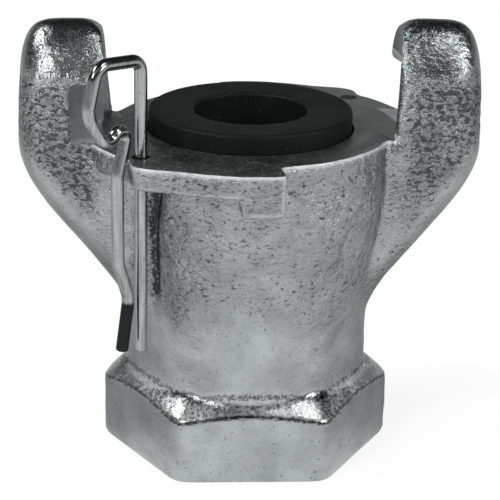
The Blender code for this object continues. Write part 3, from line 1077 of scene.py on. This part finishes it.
    def valley(self, points: Array) -> Array:
        """Share of the valley between neck and claw, exp(-(a - a0)^2 / w^2) under the flange.

        Its angle a0 turns with height, as the claw's web leans out of the neck.

        Args:
            points: Array of positions, one row each.

        Returns:
            Shares between 0 and 1.
        """
        radius, angle, height = polar(points)
        middle = self.valley_angle - self.valley_turn * (self.valley_height - height)
        share = soft_line(angle % math.pi, middle, self.valley_width)
        share = share * self.valley_start.at(height) * (1 - self.valley_end.at(height))
        return share * (radius < self.valley_reach)

    def pitting(self, points: Array) -> Array:
        """How pitted the cast skin is at each point, from 0 on the flats to 1 on the claws.

        Args:
            points: Array of positions, one row each.

        Returns:
            Shares between 0 and 1.2.
        """
        radius, _, height = polar(points)
        claw = self.claw_zone.at(radius)
        claw = claw * (1 - self.side_calm * self.side_zone.at(np.abs(points[:, 1])))
        upper = self.upper_zone.at(height + self.upper_lean * (self.upper_radius - radius))
        crown = 1 - self.crown_calm * self.crown_zone.at(height)
        neck = self.neck_zone.at(height) * (1 - claw)
        pitting = (self.least_pitting + self.claw_pitting * claw * upper * crown
                   + self.neck_pitting * neck)
        patches = Grain(5, 9 * MM).at(points)
        patches = patches + Grain(6, 3.5 * MM).at(points) * neck
        return np.clip(pitting * (1 + self.patchiness * patches), 0.0, 1.2)

    def shoulder(self, points: Array) -> tuple[Array, Array]:
        """Shares for the sparkling shoulders and crowns, and for the painted shade lines by them.

        Args:
            points: Array of positions, one row each.

        Returns:
            The sparkle's shares and the painted shade lines' shares.
        """
        _, angle, height = polar(points)
        above = height - self.flat_edge(self.hexagon(angle))
        slope = self.slope_start.at(above) * (1 - self.slope_end.at(above))
        slope = np.maximum(self.slope_sparkle * slope, self.crown_sparkle.at(height))
        # Painted shade: a dark line along the flats' upper edge, and a dark band at the
        # shoulder's foot.
        painted_shade = soft_line(above, -0.1 * MM, 0.40 * MM)
        foot = soft_line(above, 2.5 * MM, 0.8 * MM)
        return slope, np.maximum(painted_shade, self.foot_shade_line * foot)

    def lower_edge_highlights(self, points: Array) -> Array:
        """Painted highlight along the flange's lower edge and round its detent block.

        Args:
            points: Array of positions, one row each.

        Returns:
            Shares between 0 and 1.
        """
        radius, angle, height = polar(points)
        angle = angle % math.pi
        below = self.face_height - height
        start = self.flange_end - self.detent_angle
        block = (angle > start) & (angle < self.flange_end + math.radians(1))
        bottom = np.where(block, self.detent_depth, self.flange_thickness)
        level = soft_line(below, bottom - 0.5 * MM, 0.35 * MM)
        end = soft_line(angle, self.flange_end - math.radians(0.6), math.radians(0.9))
        painted_highlight = np.maximum(level, end * (below < self.detent_depth))
        painted_highlight = painted_highlight * (radius > self.edge_radius) * (angle > self.edge_start)
        painted_highlight = painted_highlight * (angle < self.flange_end + math.radians(2))
        patches = np.clip(0.8 + 0.8 * Grain(29, 3 * MM).at(points), 0.0, 1.2)
        return self.edge_highlight * painted_highlight * patches

    def paint(self, skin: Object) -> None:
        """Store vertex shares: pits, painted edge highlight, shoulder and its painted shade
        lines.

        Args:
            skin: The machined casting.
        """
        points = vertex_array(skin.data, "co")
        radius, _, height = polar(points)
        below = self.face_height - height
        # Painted highlight: a thin bright line just under the machined face's rim, kept off the
        # claws.
        rim = soft_line(below, 0.20 * MM, 0.28 * MM) * (radius < self.rim_reach)
        rim = rim * np.clip(0.85 + 0.5 * Grain(19, 5 * MM).at(points), 0.0, 1.0)
        half_claw = self.claw_width / 2 + self.claw_margin
        claw = (radius > self.claw_foot) & (np.abs(points[:, 1]) < half_claw)
        rim = np.maximum(np.where(claw, 0.0, rim), self.lower_edge_highlights(points))
        slope, painted_shade = self.shoulder(points)
        # Painted sheen on the shoulders' bright bands.
        shoulder_sheen = np.clip(0.38 + 0.5 * Grain(23, 2.5 * MM).at(points), 0.0, 0.8)
        rim = np.maximum(rim, shoulder_sheen * slope * (below > self.shoulder_drop))
        # Painted shadow under the flange's lower edge, round the neck.
        under = soft_line(below, self.flange_thickness + 0.4 * MM, 0.5 * MM)
        under = self.under_flange_shadow * under * (radius < self.neck_reach)
        # Painted shade in the valley beside each claw's web.
        valley = np.minimum(self.valley_shade_gain * self.valley(points), self.valley_shade_cap)
        painted_shade = np.maximum(painted_shade, np.maximum(valley, under))
        shares = {"pitting": self.pitting(points), "edge": rim, "shoulder": slope, "painted_shade": painted_shade}
        for name, values in shares.items():
            layer = skin.data.attributes.new(name, "FLOAT", "POINT")
            layer.data.foreach_set("value", values.astype(np.float32))

    def facing(self) -> Shell:
        """The space above the machined face: a disc that runs out between the claws.

        Returns:
            The cutting shell.
        """
        reach = self.claw_reach
        lead = self.claw_lead + self.claw_width / 2 + self.side_gap
        trail = self.claw_width / 2 - self.claw_lead + self.side_gap
        outline = []
        for half in (0.0, math.pi):
            outline.append(arc(self.claw_inner_radius,
                               half - math.asin(trail / self.claw_inner_radius),
                               half + math.asin(lead / self.claw_inner_radius), 40))
            outline.append(arc(reach, half + math.asin(lead / reach),
                               half + math.pi - math.asin(trail / reach), 60))
        return Shell.prism(np.concatenate(outline), self.face_height,
                           self.face_height + self.claw_rise + self.overrun)

    def pocket(self) -> Shell:
        """The pocket under the lip of the claw at +X, open on its leading side.

        Returns:
            The cutting shell.
        """
        under = self.face_height + self.pocket_height
        tip = under + self.lip_rounding
        back = self.claw_inner_radius - self.overrun
        corner = np.linspace(0.0, math.pi / 2, 8)
        nose = np.linspace(-math.pi / 2, -math.pi, 12)
        profile = np.concatenate([
            [(back, self.face_height), (self.pocket_radius, self.face_height)],
            np.stack([self.pocket_radius - self.pocket_corner * (1 - np.cos(corner)),
                      under - self.pocket_corner * (1 - np.sin(corner))], axis=1),
            np.stack([self.claw_inner_radius + self.lip_rounding * (1 + np.cos(nose)),
                      tip + self.lip_rounding * np.sin(nose)], axis=1),
            [(back, tip)],
        ])
        trailing = self.claw_width / 2 - self.claw_lead
        start = math.asin((self.stop_wall - trailing) / self.pocket_radius)
        leading = math.asin((self.claw_lead + self.claw_width / 2) / self.pocket_radius)
        return Shell.turned(profile, start, leading - start + math.radians(20), 48)

    def bore(self) -> Shell:
        """The hollow from pipe socket to washer recess.

        Returns:
            The cutting shell.
        """
        seat = self.face_height - self.recess_depth
        relief = self.socket_depth + self.relief_length
        groove = self.recess_radius + self.groove_depth
        mouth = self.socket_radius + self.socket_chamfer
        profile = np.array([
            (ON_AXIS, -self.overrun),
            (mouth + self.overrun, -self.overrun),
            (self.socket_radius, self.socket_chamfer),
            (self.socket_radius, relief),
            (self.waterway_radius, relief + self.reducer_length),
            (self.waterway_radius, seat),
            (groove, seat),
            (groove, seat + self.groove_height),
            (self.recess_radius, seat + self.groove_height),
            (self.recess_radius, self.face_height + self.overrun),
            (ON_AXIS, self.face_height + self.overrun),
        ])
        return Shell.turned(profile, 0.0, math.tau, 160)

    def drilled(self) -> Shell:
        """The clip's hole beside the claw at +X.

        Returns:
            The cutting shell.
        """
        centre = arc(self.clip_hole_radius, self.clip_hole_angle, self.clip_hole_angle, 1)
        ring = arc(self.clip_hole_bore, 0.0, math.tau, 33)[:-1] + centre
        return Shell.prism(ring, self.face_height - self.flange_thickness - self.overrun,
                           self.face_height + self.overrun)

    def foot(self) -> Shell:
        """The block below the machined end face.

        Returns:
            The cutting shell.
        """
        half = self.across_flats
        square = np.array([(-half, -half), (half, -half), (half, half), (-half, half)])
        return Shell.prism(square, -self.overrun, 0.0)

    def machine(self, skin: Object, tooling: Material, plated: Material) -> None:
        """Cut the machined shapes out of the skin, each with its finish on the cut.

        Args:
            skin: The fused casting.
            tooling: Finish of the turned face, bores and holes.
            plated: Finish of the pockets under the claws' lips.
        """
        pocket = self.pocket()
        drilled = self.drilled()
        cuts = [(self.facing(), tooling), (pocket, plated), (pocket.half_turned(), plated),
                (self.bore(), tooling), (drilled, tooling), (drilled.half_turned(), tooling),
                (self.foot(), tooling)]
        shop = bpy.data.collections.new("cuts")
        for index, (cut, finish) in enumerate(cuts):
            cutter = cut.to_object(f"cut_{index}", finish)
            cutter.hide_render = True
            shop.objects.link(cutter)
        step = skin.modifiers.new("machine", "BOOLEAN")
        step.operation = "DIFFERENCE"
        step.solver = "EXACT"
        step.operand_type = "COLLECTION"
        step.collection = shop
        step.material_mode = "TRANSFER"
        settle(skin)
        for cutter in list(shop.objects):
            bpy.data.objects.remove(cutter, do_unlink=True)
        bpy.data.collections.remove(shop)

    def build(self, cast: Material, tooling: Material, plated: Material) -> Object:
        """Make the finished casting and place it in the frame.

        Args:
            cast: Finish of the cast skin.
            tooling: Finish of the cut faces.
            plated: Finish of the pockets.

        Returns:
            The casting's object.
        """
        skin = self.fused(cast)
        self.roughen(skin)
        self.machine(skin, tooling, plated)
        self.paint(skin)
        shade_round(skin, 38.0)
        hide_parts("coupling_casting")
        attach(skin, Body.COUPLING.value)
        return skin


@dataclass
class PipeThread:
    """The internal taper thread of the socket, as a closed sleeve in the widened bore."""

    crest_radius: float = 12.0 * MM
    outer_radius: float = 12.98 * MM
    pitch: float = 1.814 * MM
    depth: float = 0.80 * MM
    taper: float = 1 / 32
    bottom: float = 0.9 * MM
    top: float = 16.0 * MM
    flank_gain: float = 1.35
    crest_flat: float = 0.15
    end_share: float = 0.15
    offset: float = 0.02 * MM
    least_wall: float = 0.05 * MM

    def build(self, finish: Material) -> Object:
        """Make the sleeve.

        Its inner radius is r = crest - taper z + depth g, where g is 0 on the crests and 1 in
        the grooves, a triangle wave of z / pitch - angle / turn with cut-off tips. Its outer
        wall goes straight back down, and each end runs out smoothly into it.

        Args:
            finish: Finish of the thread.

        Returns:
            The thread's object.
        """
        angles = np.linspace(0, math.tau, 120, endpoint=False)[:, None]
        heights = np.linspace(self.bottom, self.top, 150)[None, :]
        phase = (heights / self.pitch - angles / (math.tau)) % 1.0
        groove = self.flank_gain * (1 - np.abs(2 * phase - 1)) - self.crest_flat
        fade = smooth_step(heights, self.bottom, self.pitch) * (
            1 - smooth_step(heights, self.top - self.pitch, self.pitch))
        inner = self.crest_radius - self.taper * heights + self.depth * np.clip(groove, 0.0, 1.0)
        share = self.end_share + (1 - self.end_share) * fade
        inner = self.outer_radius - self.offset + (inner - self.outer_radius) * share
        inner = np.minimum(inner, self.outer_radius - self.least_wall)
        wall = np.full((len(angles), 2), self.outer_radius)
        levels = np.append(heights, [self.top, self.bottom])[None, :]
        rings = ring_grid(np.append(inner, wall, axis=1), angles, levels)
        thread = Shell.from_rings(rings, capped=False).to_object("pipe_thread", finish)
        shade_round(thread, 50.0)
        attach(thread, Body.COUPLING.value)
        return thread


@dataclass
class Washer:
    """The rubber washer, whose bead sits in the recess's groove."""

    radius: float = 14.7 * MM
    hole_radius: float = 8.2 * MM
    bottom: float = 44.2 * MM
    bead_top: float = 46.3 * MM
    bead: float = 1.0 * MM
    top: float = 50.5 * MM
    edge: float = 0.45 * MM
    outer_land: float = 1.6 * MM
    inner_land: float = 2.0 * MM
    dish: float = 0.1 * MM
    swell: float = 0.004

    def corner(self, radius: float, height: float, start: float) -> Array:
        """A quarter round of the edge's size about a (radius, height) centre."""
        return np.array([radius, height]) + arc(self.edge, start, start + math.pi / 2, 7)

    def build(self, finish: Material) -> Object:
        """Make the washer.

        Its profile is turned round the axis, and its radius swells by a slow noise of the
        angle, as moulded rubber does.

        Args:
            finish: Finish of the rubber.

        Returns:
            The washer's object.
        """
        bead = self.radius + self.bead
        low = self.bottom + self.edge
        high = self.top - self.edge
        profile = np.concatenate([
            self.corner(bead - self.edge, low, -math.pi / 2),
            [(bead, self.bead_top), (self.radius, self.bead_top)],
            self.corner(self.radius - self.edge, high, 0.0),
            [(self.radius - self.outer_land, self.top - self.dish / 5),
             (self.hole_radius + self.inner_land, self.top - self.dish)],
            self.corner(self.hole_radius + self.edge, high - self.dish, math.pi / 2),
            self.corner(self.hole_radius + self.edge, low, math.pi),
        ])
        shell = Shell.turned(profile, 0.0, math.tau, 180)
        swell = 1 + self.swell * Grain(31, 6 * MM).at(shell.points)
        points = shell.points * np.stack([swell, swell, np.ones_like(swell)], axis=1)
        washer = Shell(points, shell.faces).to_object("moulded_washer", finish)
        shade_round(washer, 50.0)
        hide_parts("rubber_washer")
        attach(washer, Body.COUPLING.value)
        return washer


@dataclass
class SafetyClip:
    """The bent wire clip in the hole beside the claw at -X."""

    wire: float = 1.8 * MM
    hole_radius: float = 22.1 * MM
    hole_angle: float = math.radians(44.6)
    face: float = 47.8 * MM
    eye_height: float = 13.9 * MM
    eye_width: float = 9.9 * MM
    leg: float = 28.5 * MM
    eye_floor: float = 2.6 * MM
    nip_height: float = 7.2 * MM
    nip_reach: float = 1.6 * MM
    spread: float = 4.4 * MM
    rim_drop: float = 1.7 * MM
    squeeze: float = 2.0 * MM
    tip_shorter: float = 1.0 * MM
    # Length and fade of the painted dark reflection on the flared end.
    dark_end: float = 7.4 * MM
    dark_fade: float = 0.6 * MM
    cut_length: float = 0.25 * MM
    cut_inset: float = 0.2 * MM
    spacing: float = 0.22 * MM
    around: int = 28
    bend_steps: int = 24

    def corners(self) -> list[Triple]:
        """Corners of the wire's path as (distance out, height, bend radius).

        Returns:
            The corners, from the straight leg's cut end to the other end.
        """
        foot = self.face - self.leg
        crown = self.face + self.eye_height
        pinch = self.spread - self.squeeze
        return [
            (0.0, foot, 0.0),
            (0.0, crown - self.wire / 6, self.wire),
            (self.eye_width * 0.82, crown + self.wire / 6, self.wire * 1.4),
            (self.eye_width, crown - self.eye_height * 0.45, self.wire * 1.7),
            (self.eye_width * 0.65, self.face + self.eye_floor, self.wire * 0.9),
            (self.nip_reach, self.face + self.nip_height, self.wire * 0.65),
            (self.spread, self.face - self.rim_drop, self.wire * 1.7),
            (self.spread, foot + self.leg * 0.50, self.wire * 2.55),
            (pinch, foot + self.leg * 0.30, self.wire * 2.2),
            (self.spread - self.squeeze / 3, foot + self.tip_shorter, 0.0),
        ]

    def path(self) -> Array:
        """Points along the corners' straight runs, joined by round bends.

        A bend of radius r between runs that meet at an angle 2h starts r / tan h before the
        corner and follows the circle that touches both runs. The whole is then spaced evenly.

        Returns:
            Array of (distance out, height).
        """
        corners = self.corners()
        points = [np.array(corners[0][:2])[None, :]]
        for before, corner, after in zip(corners, corners[1:], corners[2:]):
            vertex = np.array(corner[:2])
            back, ahead = (unit(np.array(end[:2]) - vertex) for end in (before, after))
            half = math.acos(float(np.dot(back, ahead))) / 2
            centre = vertex + unit(back + ahead) * corner[2] / math.sin(half)
            cut = corner[2] / math.tan(half)
            first = vertex + back * cut - centre
            last = vertex + ahead * cut - centre
            sweep = math.pi - 2 * half
            share = np.linspace(0.0, 1.0, self.bend_steps)[:, None]
            bend = first * np.sin((1 - share) * sweep) + last * np.sin(share * sweep)
            points.append(centre + bend / math.sin(sweep))
        points.append(np.array(corners[-1][:2])[None, :])
        rough = np.concatenate(points)
        run = np.concatenate([[0.0], np.cumsum(np.linalg.norm(np.diff(rough, axis=0), axis=1))])
        even = np.linspace(0.0, run[-1], int(run[-1] / self.spacing))
        return np.stack([np.interp(even, run, rough[:, 0]), np.interp(even, run, rough[:, 1])],
                        axis=1)

    def build(self, finish: Material) -> Object:
        """Make the clip.

        The wire's ring at each point of the path is centre + r (cos t n + sin t b), where n
        is the path's normal in its plane and b the plane's own normal. Both cut ends are
        rounded off a little.

        Args:
            finish: Finish of the wire.

        Returns:
            The clip's object.
        """
        path = self.path()
        tangent = unit(np.gradient(path, axis=0))
        out = -np.array([math.cos(self.hole_angle), math.sin(self.hole_angle), 0.0])
        up = np.array([0.0, 0.0, 1.0])
        aside = np.cross(out, up)
        centre = self.hole_radius * out + path[:, :1] * out + path[:, 1:] * up
        normal = tangent[:, 1:] * out - tangent[:, :1] * up
        along = np.arange(len(path)) * self.spacing
        end = np.minimum(along, along[::-1])
        rounding = 1 - rounded_off(self.cut_length - end, self.cut_length, 2.0)
        radius = self.wire / 2 - self.cut_inset * rounding
        turn = np.linspace(0, math.tau, self.around, endpoint=False)[None, :, None]
        ring = np.cos(turn) * normal[:, None, :] + np.sin(turn) * aside
        rings = centre[:, None, :] + radius[:, None, None] * ring
        clip = Shell.from_rings(rings).to_object("wire_clip", finish)
        # Share of the painted dark reflection, over the last stretch of wire at the flared end.
        wear_and_dark_reflection = smooth_step(along, along[-1] - self.dark_end, self.dark_fade)
        layer = clip.data.attributes.new("wear_and_dark_reflection", "FLOAT", "POINT")
        layer.data.foreach_set("value", np.repeat(wear_and_dark_reflection, self.around).astype(np.float32))
        shade_round(clip, 50.0)
        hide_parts("safety_clip")
        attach(clip, Body.CLIP.value)
        return clip


@dataclass(frozen=True)
class Lamp:
    """One soft rectangular lamp that looks at the middle of the coupling."""

    name: str
    place: Triple
    size: tuple[float, float]
    power: float

    def build(self, target: Vector) -> None:
        """Hang the lamp.

        Args:
            target: Point that the lamp faces.
        """
        light = bpy.data.lights.new(self.name, "AREA")
        light.shape = "RECTANGLE"
        light.size, light.size_y = self.size
        light.energy = self.power
        item = bpy.data.objects.new(self.name, light)
        item.location = self.place
        item.rotation_euler = (target - Vector(self.place)).to_track_quat("-Z", "Y").to_euler()
        bpy.context.scene.collection.objects.link(item)


@dataclass
class Studio:
    """White floor, pale world, dark hood, soft lamps and the camera of the photograph."""

    camera_place: Triple = (0.3089 * MM, -278.32 * MM, 128.487 * MM)
    camera_pitch: float = math.radians(90 - 19.716)
    camera_roll: float = math.radians(1.083)
    camera_turn: float = math.radians(-3.3)
    focal_pixels: float = 2007.15
    frame_pixels: float = 500.0
    sensor: float = 36.0
    clip_range: tuple[float, float] = (0.01, 20.0)
    floor_radius: float = 3.0
    floor_depth: float = 2 * MM
    floor_paint: Colour = (0.30, 0.30, 0.30)
    floor_glow: float = 0.76
    front_glow: float = 0.68
    side_glow: float = 0.22
    back_glow: float = 0.14
    foot_shade: float = 0.58
    room_glow: float = 0.48
    world_light: float = 0.45
    hood_radius: float = 1.5
    hood_wall: float = 1.02
    hood_back: float = 0.28
    hood_band: float = 0.26
    hood_least: float = 0.02
    target: Vector = field(default_factory=lambda: Vector((0.0, 0.0, 32 * MM)))
    lamps: tuple[Lamp, ...] = (
        Lamp("left_lamp", (-0.36, 0.03, 0.50), (0.15, 0.15), 1.10),
        Lamp("right_lamp", (0.24, -0.17, 0.56), (0.15, 0.15), 0.50),
        Lamp("left_spot", (-0.32, -0.38, 0.37), (0.12, 0.15), 0.9),
        Lamp("right_spot", (0.53, -0.30, 0.34), (0.12, 0.15), 1.0),
    )

    def add_camera(self) -> None:
        """Set up the camera, with its focal length in pixels turned into millimetres."""
        lens = bpy.data.cameras.new("photo_camera")
        lens.sensor_width = self.sensor
        lens.lens = self.focal_pixels / self.frame_pixels * self.sensor
        lens.clip_start, lens.clip_end = self.clip_range
        camera = bpy.data.objects.new("photo_camera", lens)
        camera.matrix_world = (Matrix.Rotation(self.camera_turn, 4, "Z")
                               @ Matrix.Translation(self.camera_place)
                               @ Matrix.Rotation(self.camera_pitch, 4, "X")
                               @ Matrix.Rotation(self.camera_roll, 4, "Z"))
        bpy.context.scene.collection.objects.link(camera)
        bpy.context.scene.camera = camera

    def add_world(self) -> None:
        """Make the world white for the camera, pale for reflections, and plain for its light."""
        graph = Graph(bpy.data.worlds.new("pale_room"))
        bpy.context.scene.world = graph.owner
        level = graph.ray("Glossy").span(0.0, 1.0, self.world_light, self.room_glow)
        level = graph.ray("Camera").span(0.0, 1.0, level)
        graph.feed_named(graph.tree.nodes["Background"], color=WHITE, strength=level)

    def add_floor(self) -> None:
        """Lay the white floor, which keeps the coupling's soft shadow.

        Reflections see it bright in front of the coupling, dimmer round its sides and a
        little brighter again behind, by the value of y / r, and dimmer close beside it.
        """
        graph = Graph.of_finish("white_floor")
        distance = graph.add("VectorMath", graph.place, output=LENGTH_OUTPUT)
        distance.socket.node.operation = "LENGTH"
        forward = graph.axis("Y") / distance
        near = distance.span(35 * MM, 75 * MM, self.foot_shade, 0.0)
        aside = abs(graph.axis("X")).span(15 * MM, 27 * MM)
        mirrored = (forward.span(0.75, 1.0, 0.0, self.back_glow)
                    + forward.span(-0.55, 0.45, self.front_glow, self.side_glow))
        seen = graph.ray("Glossy") * (mirrored * (1.0 - near * aside))
        glow = graph.add("Emission", strength=seen + graph.ray("Camera") * self.floor_glow)
        paint = graph.add("BsdfDiffuse", color=self.floor_paint)
        graph.tree.nodes.remove(graph.shader)
        graph.feed_named(graph.tree.nodes["Material Output"],
                         surface=graph.add("AddShader", glow, paint))
        outline = arc(self.floor_radius, 0.0, math.tau, 65)[:-1]
        floor = Shell.prism(outline, -self.floor_depth, 0.0).to_object("floor", graph.owner)

    def add_hood(self) -> None:
        """Hang a dark hood overhead that only reflections see, as the dark room did.

        It is pale near the floor and in a band at half its height, both in front, and a
        little paler low at the back.
        """
        angles = np.linspace(0, math.tau, 96, endpoint=False)[None, :]
        rise = np.linspace(math.radians(8), math.radians(89), 24)[:, None]
        inner = self.hood_radius * ring_grid(np.cos(rise), angles, np.sin(rise))
        graph = Graph.of_finish("dark_hood")
        side = graph.axis("Y")
        height = graph.axis("Z") / self.hood_radius
        back = height.span(0.30, 0.50, self.hood_back, 0.0) * side.span(0.3, 0.8)
        low = height.span(0.20, 0.28, self.room_glow, 0.0)
        band = height.span(0.62, 0.70, 0.0, self.hood_band) * height.span(0.82, 0.88, 1.0, 0.0)
        front = (low + band) * side.span(-0.2, 0.1, 1.0, 0.0)
        finish = graph.finish(base_color=BLACK, roughness=1.0, emission_color=WHITE,
                              emission_strength=back.most(front) + self.hood_least)
        graph.shader.inputs["Specular IOR Level"].default_value = 0.0
        hood = Shell.from_rings(np.concatenate([inner, inner[::-1] * self.hood_wall]),
                                capped=False).to_object("hood", finish)
        hood.visible_camera = False
        hood.visible_diffuse = False
        hood.visible_shadow = False
        hood.visible_transmission = False

    def build(self) -> None:
        """Set the whole studio up."""
        bpy.context.scene.view_settings.view_transform = "Standard"
        self.add_camera()
        self.add_world()
        self.add_floor()
        self.add_hood()
        for lamp in self.lamps:
            lamp.build(self.target)


def report_piece(item: Object) -> None:
    """Log a piece's name and size."""
    LOG.info("%s: %d vertices, %d faces", item.name, len(item.data.vertices),
             len(item.data.polygons))


def main() -> None:
    """Set the studio up, then build the coupling's pieces in order."""
    logging.basicConfig(level=logging.INFO, format="%(message)s")
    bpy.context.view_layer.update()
    Studio().build()
    cast = CastZinc().build()
    tooling = MachinedZinc().build()
    report_piece(CastBody().build(cast, tooling, PlatedCut().build()))
    report_piece(PipeThread().build(tooling))
    report_piece(Washer().build(BlackRubber().build()))
    report_piece(SafetyClip().build(BrightWire().build()))


if __name__ == "__main__":
    main()
